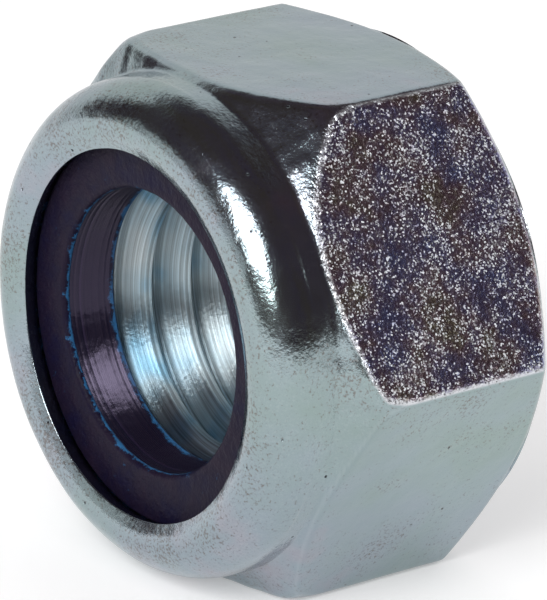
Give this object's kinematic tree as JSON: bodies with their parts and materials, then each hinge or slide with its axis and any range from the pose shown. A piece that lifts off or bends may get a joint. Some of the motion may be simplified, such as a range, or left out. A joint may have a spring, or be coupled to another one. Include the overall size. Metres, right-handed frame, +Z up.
{
  "type": "nylon insert lock nut",
  "caption": "Zinc-plated hexagon nut whose crimped collar holds a nylon ring. The ring grips a bolt's thread, so that the nut stays put under vibration.",
  "frame": {"origin": "on the ground under the middle of the nut, which lies on one flat of its hexagon", "axes": "+Z up, square to the flat that it lies on; +Y along the thread axis, from the collar to the bearing face; +X through a corner of the hexagon"},
  "size_m": [0.0182, 0.0098, 0.0159],
  "materials": {
    "zinc_plated_steel": "zinc-plated, cold-formed",
    "nylon": "moulded, dark indigo"
  },
  "bodies": {
    "root": {"nut_body": "zinc_plated_steel", "nylon_insert": "nylon"}
  },
  "joints": []
}
